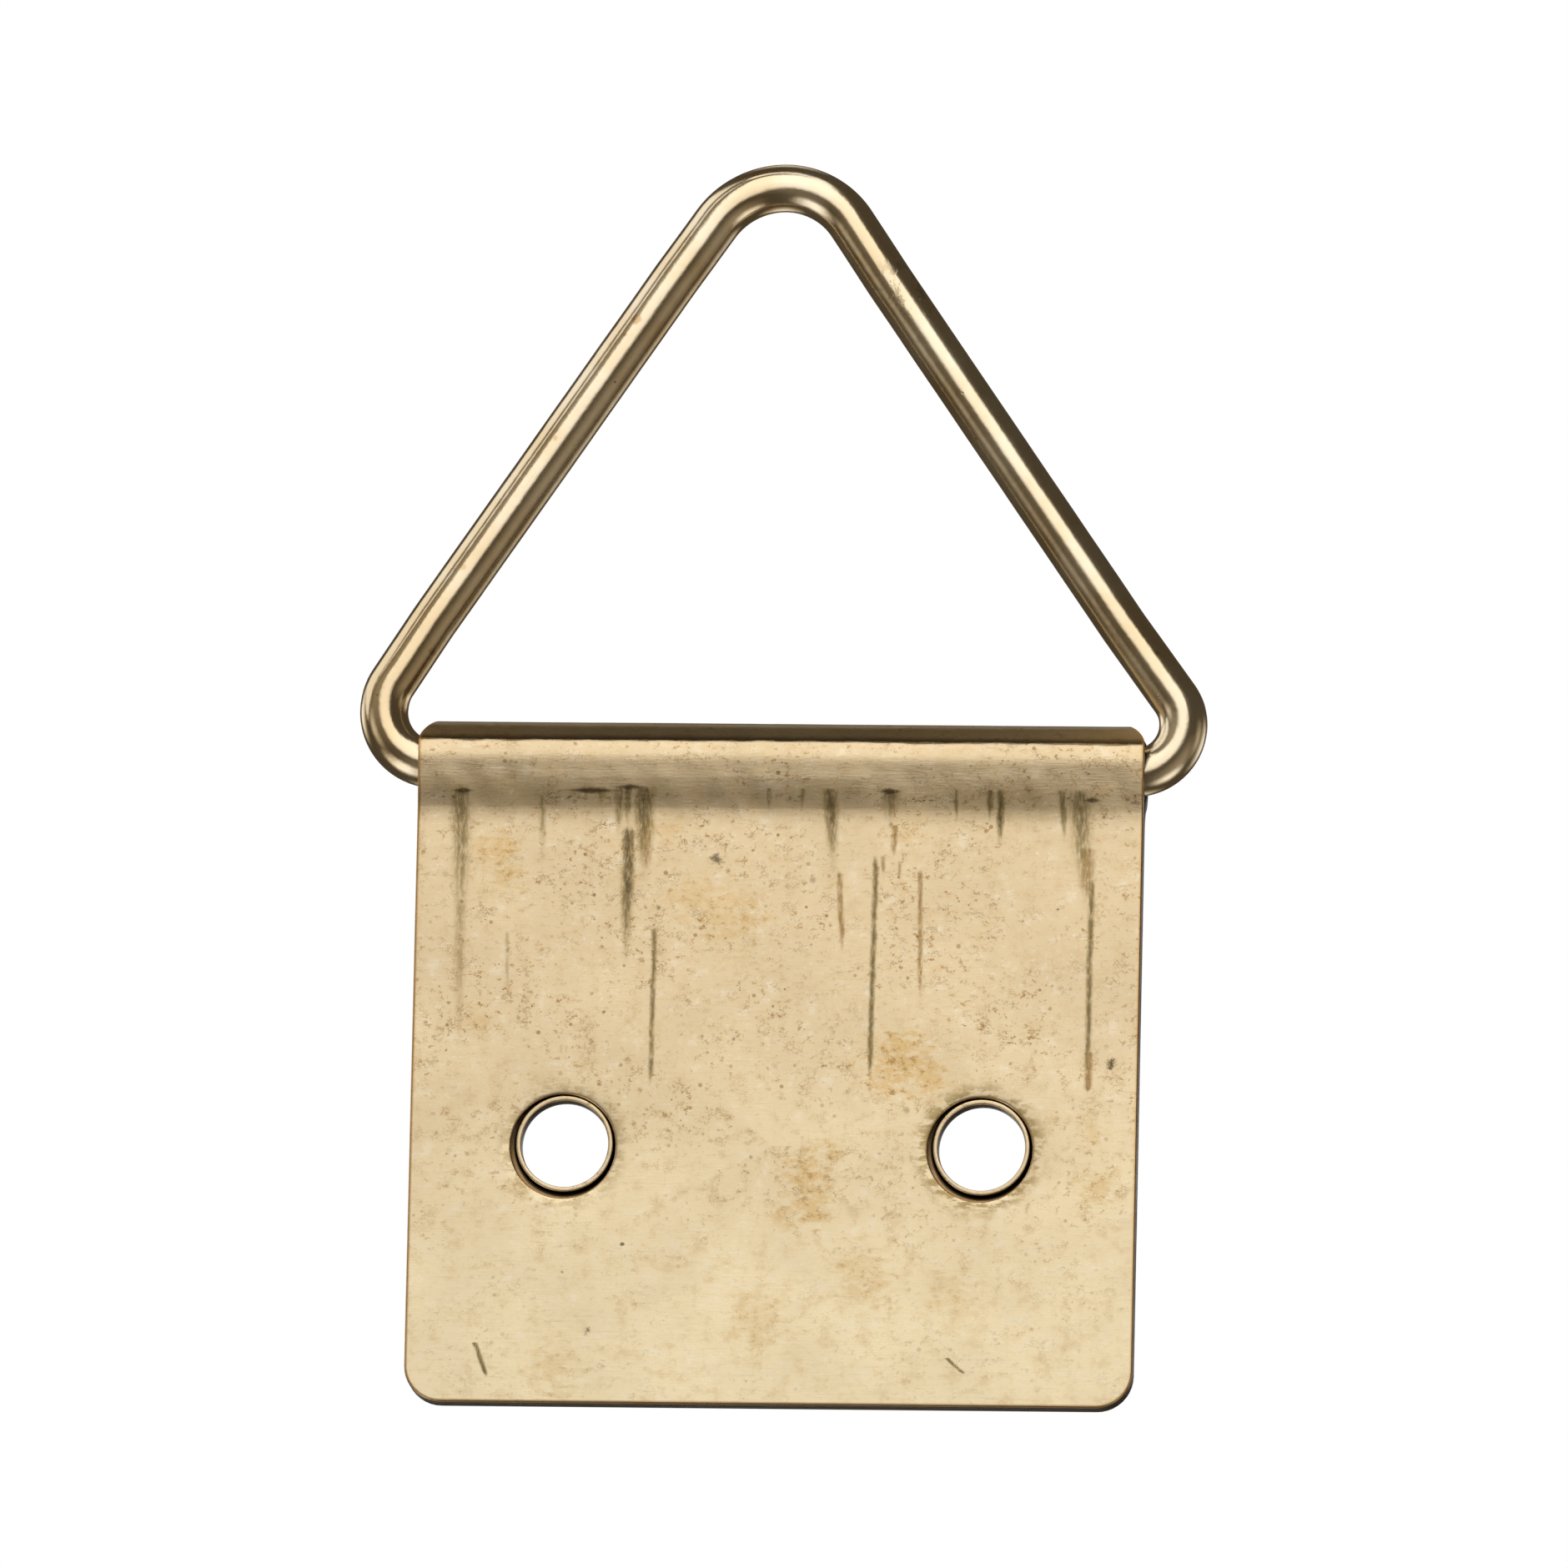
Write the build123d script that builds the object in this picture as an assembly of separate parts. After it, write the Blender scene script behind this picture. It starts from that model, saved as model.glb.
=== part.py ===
from build123d import *
from math import pi, radians, sqrt, tan
import os

# Picture eyelet: a brass strap folded round a triangle of wire, in millimetres.
# X runs along the pivot, Z runs up towards the tip of the triangle, and the front looks along -Y.
# The origin is midway between the two screw holes, on the back face that lies against the frame.

# Sheet of the strap, and the tight slit that stays between its two leaves
sheet = 0.6
slit = 0.06
strap_width = 30.0

# Roll that carries the wire. It is set back from the middle of the two leaves, so that the front leaf
# runs up over it nearly straight, through a long shallow crease, and the back leaf takes the tight one.
bore_r = 1.2
pivot_back = 0.72
front_crease_r = 3.0
back_crease_r = 1.0

# Heights measured from the screw holes
pivot_above_holes = 16.03
leaf_below_holes = 10.8
bottom_corner_r = 1.5
top_corner_r = 0.9

# Screw holes: a drawn collar on the back leaf stands in a wider hole in the front leaf
screw_spacing = 17.2
screw_r = 1.8
collar_wall = 0.2
collar_rise = 0.56
collar_entry_r = 0.2
front_hole_r = 2.17
front_hole_shift = (-0.06, -0.11)
dish_width = 0.6
dish_depth = 0.12

# Burnished edges of the blanked sheet
edge_round = 0.09
mouth_round = 0.15

# Wire triangle: outside width, mean slope of the legs from upright, and centre-line bends.
# It is bent by hand: the left leg stands steeper than the mean by slope_spread and the right one flatter,
# the left bend is wider than the right, and the bar droops from droop_start out to the right corner.
wire_r = 1.0
ring_width = 35.2
leg_slope = 34.25
slope_spread = 0.43
left_bend = 2.2
right_bend = 2.0
apex_bend = 3.4
droop = 0.27
droop_start = 11.5
droop_bend = 20.0
end_gap = 0.3
end_round = 0.2

# Worked out from the sizes above
roll_r = bore_r + sheet
leaf_inner = slit / 2
leaf_outer = leaf_inner + sheet
front_y = -2 * leaf_outer
leaf_bottom = pivot_above_holes + leaf_below_holes
pivot = Location((0, pivot_back - leaf_outer, pivot_above_holes))


def half_section(outer, crease_r):
    # One leaf from its lower end up through the crease to the top of the roll, in the YZ plane.
    # Its outer face lies at -outer from the pivot.
    inner = outer - sheet
    drop = sqrt((roll_r + crease_r) ** 2 - (outer + crease_r) ** 2)
    share_y = (outer + crease_r) / (roll_r + crease_r)
    share_z = drop / (roll_r + crease_r)
    outer_turn = (-outer, -drop)
    inner_turn = (-inner, -drop)
    outer_meet = (-roll_r * share_y, -roll_r * share_z)
    inner_meet = (-bore_r * share_y, -bore_r * share_z)
    with BuildSketch(Plane.YZ) as half:
        with BuildLine():
            Line((-outer, -leaf_bottom), outer_turn)
            TangentArc(outer_turn, outer_meet, tangent=(0, 1))
            ThreePointArc(outer_meet, (-roll_r, 0), (0, roll_r))
            Line((0, roll_r), (0, bore_r))
            ThreePointArc((0, bore_r), (-bore_r, 0), inner_meet)
            TangentArc(inner_turn, inner_meet, tangent=(0, 1))
            Line(inner_turn, (-inner, -leaf_bottom))
            Line((-inner, -leaf_bottom), (-outer, -leaf_bottom))
        make_face()
    return half.sketch


def strap_blank():
    # The folded sheet with its lower corners cut round, and the outer rim of its skin burnished.
    # That rim is one smooth loop, so rounding the first edge of it carries on all the way round.
    front = half_section(leaf_outer + pivot_back, front_crease_r)
    back = half_section(leaf_outer - pivot_back, back_crease_r)
    folded = extrude(front + mirror(back, about=Plane.XZ), amount=strap_width / 2, both=True)
    with BuildSketch(Plane.XZ) as outline:
        with Locations((0, (roll_r - leaf_bottom) / 2)):
            Rectangle(strap_width, leaf_bottom + roll_r)
        fillet(outline.vertices().group_by(Axis.Y)[0], bottom_corner_r)
    blank = folded & extrude(outline.sketch, amount=2 * roll_r, both=True)
    lowest = blank.edges().filter_by(Axis.X).group_by(Axis.Z)[0]
    return fillet(lowest.sort_by(Axis.Y)[0], edge_round)


def corner_relief(side):
    # What is missing at one top corner of the fold, where the wire turns upwards out of the roll
    inset = strap_width / 2 - top_corner_r
    with BuildSketch(Plane.XZ) as sliver:
        with Locations((side * (inset + top_corner_r), roll_r)):
            Rectangle(2 * top_corner_r, 2 * top_corner_r)
        with Locations((side * inset, roll_r - top_corner_r)):
            Circle(top_corner_r, mode=Mode.SUBTRACT)
    return extrude(sliver.sketch, amount=2 * roll_r, both=True)


def mouth_flare(side):
    # What is worn off the inner edge of one mouth of the roll, as a trumpet about the pivot
    start = strap_width / 2 - mouth_round
    with BuildSketch() as profile:
        with BuildLine():
            turn = JernArc((start, bore_r), tangent=(1, 0), radius=mouth_round, arc_size=90)
            Polyline(turn @ 1, (start + 1, bore_r + mouth_round), (start + 1, 0), (start, 0), (start, bore_r))
        make_face()
    flare = revolve(profile.sketch, axis=Axis.X)
    return flare if side > 0 else mirror(flare, about=Plane.YZ)


def turned(profile_points, place):
    # A solid of revolution about the axis of a hole; each point is (radius, depth behind the front face)
    with BuildSketch(Plane.XY) as profile:
        with BuildLine():
            Polyline(*profile_points, close=True)
        make_face()
    about_y = Plane(origin=(place[0], front_y, place[1]), x_dir=(1, 0, 0), z_dir=(0, 0, 1))
    return about_y * revolve(profile.sketch, axis=Axis.Y)


def front_hole(x):
    # The wide hole of the front leaf, with the shallow dish that the swaging leaves round it
    place = (x + front_hole_shift[0], front_hole_shift[1])
    rim = front_hole_r + dish_width
    points = [(0, -1), (rim, -1), (rim, 0), (front_hole_r, dish_depth)]
    points += [(front_hole_r, leaf_outer), (0, leaf_outer)]
    return turned(points, place)


def collar(x):
    # The drawn collar of the back leaf, which ends a little below the face of the front leaf
    foot = 2 * leaf_outer - sheet / 2
    tip = leaf_outer + leaf_inner - collar_rise
    wall = turned([(0, tip), (screw_r + collar_wall, tip), (screw_r + collar_wall, foot), (0, foot)], (x, 0))
    return fillet(wall.edges().sort_by(Axis.Y)[0], collar_wall / 2)


def screw_hole(x):
    # The clear hole through the back leaf and its collar
    return turned([(0, -1), (screw_r, -1), (screw_r, 2 * leaf_outer + 1), (0, 2 * leaf_outer + 1)], (x, 0))


def punch_entries(strap):
    # The edges of the screw holes in the back face, which the punch leaves rounded
    circles = strap.edges().filter_by(GeomType.CIRCLE)
    return [e for e in circles if abs(e.radius - screw_r) < 0.001 and abs(e.center().Y) < 0.001]


def folded_strap():
    strap = strap_blank()
    for side in (-1, 1):
        strap -= corner_relief(side)
        strap -= mouth_flare(side)
    strap = pivot * strap
    for side in (-1, 1):
        strap -= front_hole(side * screw_spacing / 2)
        strap += collar(side * screw_spacing / 2)
        strap -= screw_hole(side * screw_spacing / 2)
    return fillet(punch_entries(strap), collar_entry_r)


def wire_triangle():
    # The wire's centre-line, from one end in the middle of the roll round to the other.
    # Each lower corner is worked out from its own bend and leg, so that both bends reach the full width.
    steep = radians(leg_slope - slope_spread)
    flat = radians(leg_slope + slope_spread)
    reach = ring_width / 2 - wire_r
    left = left_bend - reach - left_bend / tan((pi / 2 - steep) / 2)
    right = reach - right_bend + right_bend / tan((pi / 2 - flat) / 2)
    height = (right - left - droop * tan(flat)) / (tan(steep) + tan(flat))
    tip = (left + height * tan(steep), height)
    with BuildLine(Plane.XZ) as centre:
        Polyline((end_gap / 2, 0), (droop_start, 0), (right, -droop), tip, (left, 0), (-end_gap / 2, 0))
        fillet(centre.vertices().group_by(Axis.Z)[-1], apex_bend)
        fillet(centre.vertices().sort_by(Axis.X)[0], left_bend)
        fillet(centre.vertices().sort_by(Axis.X)[-1], right_bend)
        fillet([v for v in centre.vertices() if abs(v.X - droop_start) < wire_r], droop_bend)
    start = Plane(origin=(end_gap / 2, 0, 0), z_dir=(1, 0, 0))
    wire = sweep(start * Circle(wire_r), path=centre.wire())
    ends = wire.edges().filter_by(GeomType.CIRCLE).sort_by(lambda e: abs(e.center().X))[:2]
    return pivot * fillet(ends, end_round)


os.makedirs("parts", exist_ok=True)
parts = {"folded_strap": folded_strap(), "wire_triangle": wire_triangle()}
for name, solid in parts.items():
    solid.label = name
    export_step(solid, f"parts/{name}.step")
    box = solid.bounding_box()
    print(name, round(solid.volume, 2), "mm3", [round(v, 3) for v in (*box.min, *box.max)])
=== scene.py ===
# %% [markdown]
# # A brass picture eyelet
# The object is a small piece of picture-hanging hardware: a strip of sheet brass is folded round a triangle
# of brass wire, and two screws through the strap hold it on the back of a frame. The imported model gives
# two solids in one frame: X runs along the pivot, Z points up to the tip of the triangle, and the front
# looks along -Y. This script dresses both solids with denser meshes, paints them as real brass, and
# photographs them in a small light tent, as a jeweller would.

# %% Load the frame
import bpy
import math
import numpy as np
from mathutils import Matrix, Vector


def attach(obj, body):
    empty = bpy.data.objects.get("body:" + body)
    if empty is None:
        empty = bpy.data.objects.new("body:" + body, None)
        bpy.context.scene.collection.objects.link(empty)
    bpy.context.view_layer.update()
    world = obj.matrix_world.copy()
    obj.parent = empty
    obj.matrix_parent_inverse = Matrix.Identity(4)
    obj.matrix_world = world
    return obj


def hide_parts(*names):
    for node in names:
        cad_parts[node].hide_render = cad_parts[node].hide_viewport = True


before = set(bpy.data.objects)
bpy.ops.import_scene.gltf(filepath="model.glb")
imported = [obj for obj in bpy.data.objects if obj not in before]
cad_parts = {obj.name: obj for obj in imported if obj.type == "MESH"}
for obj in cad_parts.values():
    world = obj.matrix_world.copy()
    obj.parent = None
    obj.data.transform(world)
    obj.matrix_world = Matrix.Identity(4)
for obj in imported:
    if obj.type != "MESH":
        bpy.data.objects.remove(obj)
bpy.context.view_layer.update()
MM = 0.001

# %% [markdown]
# ## Three small helpers
# Colours are written as the sRGB hex values that a colour picker shows, and Blender's sockets want linear
# light, so one function turns one into the other. A second one adds any shader node with its settings and
# fills its sockets, in their order or by name, with plain values, sockets or the first output of another
# node. The third turns points in millimetres and faces into an object that stores, on each point, where
# that point lay before the metal was bent.

# %% Colour, node and mesh helpers
def linear(hex_colour):
    channels = [int(hex_colour[i:i + 2], 16) / 255 for i in (1, 3, 5)]
    return (*[c / 12.92 if c <= 0.04045 else ((c + 0.055) / 1.055) ** 2.4 for c in channels], 1.0)


def add(tree, kind, *values, named=None, **settings):
    made = tree.nodes.new(kind if kind.startswith("Node") else "ShaderNode" + kind)
    for name, value in settings.items():
        setattr(made, name, value)
    for socket, value in [*enumerate(values), *(named or {}).items()]:
        source = value.outputs[0] if isinstance(value, bpy.types.Node) else value
        if isinstance(source, bpy.types.NodeSocket):
            tree.links.new(source, made.inputs[socket])
        else:
            made.inputs[socket].default_value = source
    return made


def metal_object(name, points_mm, faces, before_bending):
    mesh = bpy.data.meshes.new(name)
    mesh.from_pydata((np.asarray(points_mm) * MM).tolist(), [], faces)
    mesh.validate()
    mesh.shade_smooth()
    stored = mesh.attributes.new("blank", "FLOAT_VECTOR", "POINT")
    stored.data.foreach_set("vector", np.asarray(before_bending, dtype=np.float32).ravel())
    made = bpy.data.objects.new(name, mesh)
    bpy.context.scene.collection.objects.link(made)
    print(name, len(mesh.vertices), "points,", sum(len(p.vertices) - 2 for p in mesh.polygons), "triangles")
    return made


# %% [markdown]
# ## The strap, laid flat
# The real strap starts as a flat blank of 0.6 mm sheet, and the easiest way to get its bends right is to
# build that blank and bend it as the press does. Every point is written as (x, v, w): x along the pivot,
# v along the sheet from the front leaf's lower edge, over the roll, to the back leaf's lower edge, and w
# down through the sheet from its outer skin. Both v and z are zero at the front leaf's screw holes, so on
# the flat of that leaf v is simply z.

# %% Sizes of the strap in millimetres
SHEET, SLIT, STRAP_WIDTH = 0.6, 0.06, 30.0
BORE_R, PIVOT_BACK, FRONT_CREASE_R, BACK_CREASE_R = 1.2, 0.72, 3.0, 1.0
PIVOT_Z, LEAF_DROP, BOTTOM_R, TOP_R = 16.03, 10.8, 1.5, 0.9
SCREW_SPACING, SCREW_R, COLLAR_WALL, COLLAR_RISE = 17.2, 1.8, 0.2, 0.56
FRONT_HOLE_R, FRONT_SHIFT = 2.17, (-0.06, -0.11)

ROLL_R = BORE_R + SHEET
LEAF_OUT = SLIT / 2 + SHEET
PIVOT_Y = PIVOT_BACK - LEAF_OUT


def bend_of(leaf_out, crease_r):
    drop = math.sqrt((ROLL_R + crease_r) ** 2 - (leaf_out + crease_r) ** 2)
    turn = math.atan2(drop, leaf_out + crease_r)
    roll = ROLL_R * (math.pi / 2 + turn)
    return {"out": leaf_out, "crease": crease_r, "drop": drop, "turn": turn, "roll": roll}


FRONT = bend_of(LEAF_OUT + PIVOT_BACK, FRONT_CREASE_R)
BACK = bend_of(LEAF_OUT - PIVOT_BACK, BACK_CREASE_R)
FLAT_TOP = PIVOT_Z - FRONT["drop"]
ROLL_START = FLAT_TOP + FRONT_CREASE_R * FRONT["turn"]
TOP_V = ROLL_START + FRONT["roll"]
ROLL_END = TOP_V + BACK["roll"]
BACK_FLAT = ROLL_END + BACK_CREASE_R * BACK["turn"]
HOLE_V = BACK_FLAT + PIVOT_Z - BACK["drop"]
END_V = HOLE_V + LEAF_DROP
print("blank is", STRAP_WIDTH, "by", round(END_V + LEAF_DROP, 2), "mm, folded at v =", round(TOP_V, 2))


# %% [markdown]
# ## Bending the blank
# One function carries any point of the blank to its place on the folded strap. Away from the fold the
# leaf is flat, then it runs through the crease, whose outer skin is hollow, and then over the roll. The
# roll is set back: the front leaf leans up over it through a long shallow crease and stands only half a
# millimetre proud, while the back leaf swings out round the wire through a tight one.

# %% Bend
def half_press(v_from_top, w, bend):
    turn = v_from_top / ROLL_R
    y_roll, z_roll = (ROLL_R - w) * np.sin(turn), (ROLL_R - w) * np.cos(turn)
    left = bend["turn"] - (v_from_top - bend["roll"]) / bend["crease"]
    y_crease = bend["out"] + bend["crease"] - (bend["crease"] + w) * np.cos(left)
    z_crease = -bend["drop"] + (bend["crease"] + w) * np.sin(left)
    whole = bend["roll"] + bend["crease"] * bend["turn"]
    rolled, creased = v_from_top < bend["roll"], v_from_top < whole
    y = np.where(rolled, y_roll, np.where(creased, y_crease, bend["out"] - w))
    z = np.where(rolled, z_roll, np.where(creased, z_crease, whole - bend["drop"] - v_from_top))
    return y, z


def press(x, v, w):
    x, v, w = (np.asarray(a, dtype=float) for a in (x, v, w))
    y_front, z_front = half_press(TOP_V - v, w, FRONT)
    y_back, z_back = half_press(v - TOP_V, w, BACK)
    y = PIVOT_Y + np.where(v < TOP_V, -y_front, y_back)
    z = PIVOT_Z + np.where(v < TOP_V, z_front, z_back)
    return np.stack([x, y, z], axis=-1)


# %% [markdown]
# ## A grid with four holes
# The blank is cut into a fine grid of quads, so that light runs over it evenly. Its rows are closer in
# the bends and round the corners. Each hole takes a square of cells out of the grid, and rings of quads
# lead from that square in to the rim of the hole. The side edges follow the blanked outline: round
# corners at the leaves' ends, and a notch at the fold where the wire has to turn up out of the roll.

# %% Rows and columns
RIM = 0.15
SQUARE = 3.3
corner = BOTTOM_R - RIM
arc = [corner * (1 - math.cos(math.radians(a))) for a in range(0, 91, 9)]


def runs(*stops):
    line = [stops[0]]
    for count, stop in zip(stops[1::2], stops[2::2]):
        line += list(np.linspace(line[-1], stop, count + 1))[1:]
    return line


near, far = SCREW_SPACING / 2 - SQUARE, SCREW_SPACING / 2 + SQUARE
columns = runs(-STRAP_WIDTH / 2 + RIM, 10, -far, 22, -near, 34, near, 22, far, 10, STRAP_WIDTH / 2 - RIM)
rows = [-LEAF_DROP + RIM + a for a in arc]
rows += runs(rows[-1], 20, -SQUARE, 22, SQUARE, 32, FLAT_TOP, 14, ROLL_START, 56, TOP_V)[1:]
rows += runs(TOP_V, 40, ROLL_END, 14, BACK_FLAT, 20, HOLE_V - SQUARE, 22, HOLE_V + SQUARE)[1:]
rows += runs(rows[-1], 16, END_V - BOTTOM_R)[1:]
rows += [END_V - RIM - a for a in arc[-2::-1]]
print(len(columns), "columns and", len(rows), "rows")


# %% How far the outline lets each row reach
NOTCH_SOFTNESS = 0.25


def half_width(v):
    down = min(v + LEAF_DROP, END_V - v) - RIM
    if down < corner:
        return STRAP_WIDTH / 2 - RIM - corner + math.sqrt(max(0.0, corner ** 2 - (corner - down) ** 2))
    turn = math.hypot(v - TOP_V, NOTCH_SOFTNESS) / ROLL_R
    rise = ROLL_R * math.cos(turn) - (ROLL_R - TOP_R)
    if turn < math.pi / 2 and rise > 0:
        return STRAP_WIDTH / 2 - RIM - TOP_R + math.sqrt(TOP_R ** 2 - rise ** 2)
    return STRAP_WIDTH / 2 - RIM


print("skin reaches", round(half_width(TOP_V), 2), "mm at the fold and", round(half_width(0), 2), "on a leaf")

# %% [markdown]
# ## Skins, rims and collars
# The outer and the inner skin use the same grid. What joins them is a strip of quads down each edge,
# and the profile of that strip is what makes an edge look real: blanked edges are burnished round, the
# front holes are dished where the collars were spread, and in the back leaf the punch pulls the metal
# through into a thin collar that stands up inside the front hole. Each profile is a short list of
# (distance from the rim, depth), worked from the outer skin to the inner one. Each point also stores what
# sort of edge it lies on, from 0 on a skin to 1 on a blanked edge, and the paint reads that later.

# %% Edge profiles
def quarter(radius):
    turns = np.linspace(0, math.pi / 2, 5)
    return [(radius * (1 - math.sin(a)), radius * (1 - math.cos(a))) for a in turns]


EDGE_R = 0.07
burnished = quarter(EDGE_R) + [(0.0, SHEET / 2)]
burnished += [(d, SHEET - r) for d, r in quarter(EDGE_R)[::-1]] + [(RIM, SHEET)]
dished = [(0.95, 0.0), (0.75, 0.001), (0.55, 0.002), (0.38, 0.004), (0.24, 0.008), (0.12, 0.014), (0.05, 0.022)]
dished += [(0.015, 0.035), (0.0, 0.07), (0.0, 0.35), (0.0, SHEET - 0.04), (0.04, SHEET), (0.3, SHEET)]
TIP_W = LEAF_OUT - SLIT / 2 + COLLAR_RISE
lip = [(0.0, TIP_W - 0.09), (0.004, TIP_W - 0.03), (0.015, TIP_W - 0.008), (0.04, TIP_W), (0.15, TIP_W)]
lip += [(0.185, TIP_W - 0.008), (0.197, TIP_W - 0.025), (COLLAR_WALL, TIP_W - 0.08)]
collared = [(0.6, 0.0), (0.35, 0.0)] + quarter(0.2) + [(0.0, 0.5)] + lip
collared += [(COLLAR_WALL, SHEET + 0.08), (COLLAR_WALL + 0.03, SHEET + 0.02), (COLLAR_WALL + 0.1, SHEET)]
print("collar stands", round(TIP_W - SHEET, 2), "mm above the inner skin of the back leaf")

# %% Holes, and what each point stores
holes = []
for sign in (-1, 1):
    x = sign * SCREW_SPACING / 2
    holes.append(((x, 0.0), (x + FRONT_SHIFT[0], FRONT_SHIFT[1]), FRONT_HOLE_R, dished))
    holes.append(((x, HOLE_V), (x, HOLE_V), SCREW_R, collared))

blank_points, quads, edge_kind = [], [], []


def put(x, v, w, kind=0.0):
    blank_points.append((x, v, w))
    edge_kind.append(kind)
    return len(blank_points) - 1


print(len(holes), "holes with rims of radius", [radius for _, _, radius, _ in holes])


# %% The two skins
STEADY_X = 12.0


def in_square(x, v):
    return any(abs(x - c[0]) < SQUARE - 0.01 and abs(v - c[1]) < SQUARE - 0.01 for c, _, _, _ in holes)


def place(i, j):
    x, reach = columns[i], half_width(rows[j])
    if abs(x) > STEADY_X:
        share = (abs(x) - STEADY_X) / (columns[-1] - STEADY_X)
        x = math.copysign(STEADY_X + share * (reach - STEADY_X), x)
    return x, rows[j]


def skin(w, flip):
    ids = {}
    for i in range(len(columns)):
        for j in range(len(rows)):
            if not in_square(columns[i], rows[j]):
                ids[i, j] = put(*place(i, j), w)
    for i in range(len(columns) - 1):
        for j in range(len(rows) - 1):
            if in_square((columns[i] + columns[i + 1]) / 2, (rows[j] + rows[j + 1]) / 2):
                continue
            cell = [ids[i, j], ids[i + 1, j], ids[i + 1, j + 1], ids[i, j + 1]]
            quads.append(cell[::-1] if flip else cell)
    return ids


outer, inner = skin(0.0, False), skin(SHEET, True)
print("each skin has", len(outer), "points")


# %% The burnished rim round the sheet
def join_rings(first, second):
    for k in range(len(first)):
        n = (k + 1) % len(first)
        quads.append([first[k], first[n], second[n], second[k]])


last_i, last_j = len(columns) - 1, len(rows) - 1
around = [(i, 0) for i in range(last_i)] + [(last_i, j) for j in range(last_j)]
around += [(i, last_j) for i in range(last_i, 0, -1)] + [(0, j) for j in range(last_j, 0, -1)]
rim_at = np.array([place(i, j) for i, j in around])
along = np.roll(rim_at, -1, axis=0) - np.roll(rim_at, 1, axis=0)
outward = np.stack([along[:, 1], -along[:, 0]], axis=1) / np.linalg.norm(along, axis=1)[:, None]
ring = [outer[key] for key in around]
for inset, depth in burnished[:-1]:
    rim_points = rim_at + outward * (RIM - inset)
    step = [put(x, v, depth, 1.0 if depth > 0.06 else 0.6) for x, v in rim_points]
    join_rings(step, ring)
    ring = step
join_rings([inner[key] for key in around], ring)
print("the rim runs through", len(around), "points on each of", len(burnished) - 1, "rings")

# %% Dishes and collars
for centre, true_centre, radius, profile in holes:
    i0, i1 = [int(np.argmin([abs(x - centre[0] - s) for x in columns])) for s in (-SQUARE, SQUARE)]
    j0, j1 = [int(np.argmin([abs(v - centre[1] - s) for v in rows])) for s in (-SQUARE, SQUARE)]
    square = [(i, j0) for i in range(i0, i1)] + [(i1, j) for j in range(j0, j1)]
    square += [(i, j1) for i in range(i1, i0, -1)] + [(i0, j) for j in range(j1, j0, -1)]
    angles = np.linspace(0, 2 * math.pi, len(square), endpoint=False) - math.pi * 3 / 4
    corners = np.array([(columns[i], rows[j]) for i, j in square])
    directions = np.stack([np.cos(angles), np.sin(angles)], axis=1)

    def hole_ring(distance, depth, share, kind):
        circle = np.array(true_centre) + directions * (radius + distance)
        return [put(x, v, depth, kind) for x, v in corners * share + circle * (1 - share)]

    ring = [outer[key] for key in square]
    first, last = profile[0][0], profile[-1][0]
    for share in (0.72, 0.46, 0.24, 0.08):
        step = hole_ring(first + 0.1 * share, 0.0, share, 0.0)
        join_rings(ring, step)
        ring = step
    for distance, depth in profile:
        if profile is dished:
            kind = 1.0 if depth > 0.1 else (0.25 if distance < 0.1 else 0.0)
        else:
            kind = 0.0 if depth > TIP_W - 0.06 or depth < 0.1 else 0.95
        step = hole_ring(distance, depth, 0.0, kind)
        join_rings(ring, step)
        ring = step
    for share in (0.1, 0.4, 0.7):
        step = hole_ring(last + 0.1, SHEET, share, 0.0)
        join_rings(ring, step)
        ring = step
    join_rings(ring, [inner[key] for key in square])
print(len(blank_points), "points and", len(quads), "quads in the blank")


# %% [markdown]
# ## Press marks in the shape
# No pressed sheet is truly flat. A few slow waves of about a hundredth of a millimetre are enough to
# bend the reflection of a soft light, and that is what the eye reads as sheet metal instead of a
# computer's plane. The roll is described by the way its skin faces, because that is what a reflection
# shows: a flattened top, a sharp corner left by the folding tool, an upper front that turns quickly,
# and a nearly flat lower front. Adding up the slopes gives how far the skin lies under the true round.

# %% Waves and the tool's corner
waves = np.random.default_rng(7)


def unevenness(x, v, count, shortest, longest):
    total = np.zeros_like(x)
    for _ in range(count):
        length, heading = waves.uniform(shortest, longest), waves.uniform(0, math.pi)
        start = waves.uniform(0, 6.28)
        total += np.sin((x * math.cos(heading) + v * math.sin(heading)) * 2 * math.pi / length + start)
    return total / math.sqrt(count)


# How many degrees the skin has turned from facing up, at each distance in mm down from the fold's top
FACING = [(0.0, 0), (0.3, 9), (0.6, 21), (1.0, 34), (1.4, 36), (1.9, 37), (1.97, 64), (2.1, 75), (2.25, 79),
          (2.4, 81), (2.55, 83.5), (2.69, 89.5), (2.83, 93.2), (2.97, 95.8), (3.11, 97), (3.4, 97.2),
          (3.66, 97.9), (3.8, 98.2), (3.94, 98.6), (4.08, 99.1), (4.22, 99.4), (4.36, 99.4), (4.5, 99.3),
          (4.64, 98.9), (4.78, 98.4), (4.92, 97.2), (5.06, 94.8), (5.2, 92.3), (5.34, 91.2), (5.5, 90.6),
          (5.8, 90), (6.5, 90)]
down_skin = np.linspace(0, 6.5, 600)
from_top = np.where(down_skin < FRONT["roll"], down_skin / ROLL_R,
                    FRONT["turn"] + math.pi / 2 - (down_skin - FRONT["roll"]) / FRONT_CREASE_R)
flat_from = FRONT["roll"] + FRONT_CREASE_R * FRONT["turn"]
from_top = np.degrees(np.where(down_skin > flat_from, math.pi / 2, from_top))
slope = np.tan(np.radians(np.interp(down_skin, *np.array(FACING, dtype=float).T) - from_top))
under = np.concatenate([[0], np.cumsum((slope[1:] + slope[:-1]) / 2 * np.diff(down_skin))])
under += 0.01 - under[-1] * np.clip((down_skin - 0.3) / 1.6, 0, 1)
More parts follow.
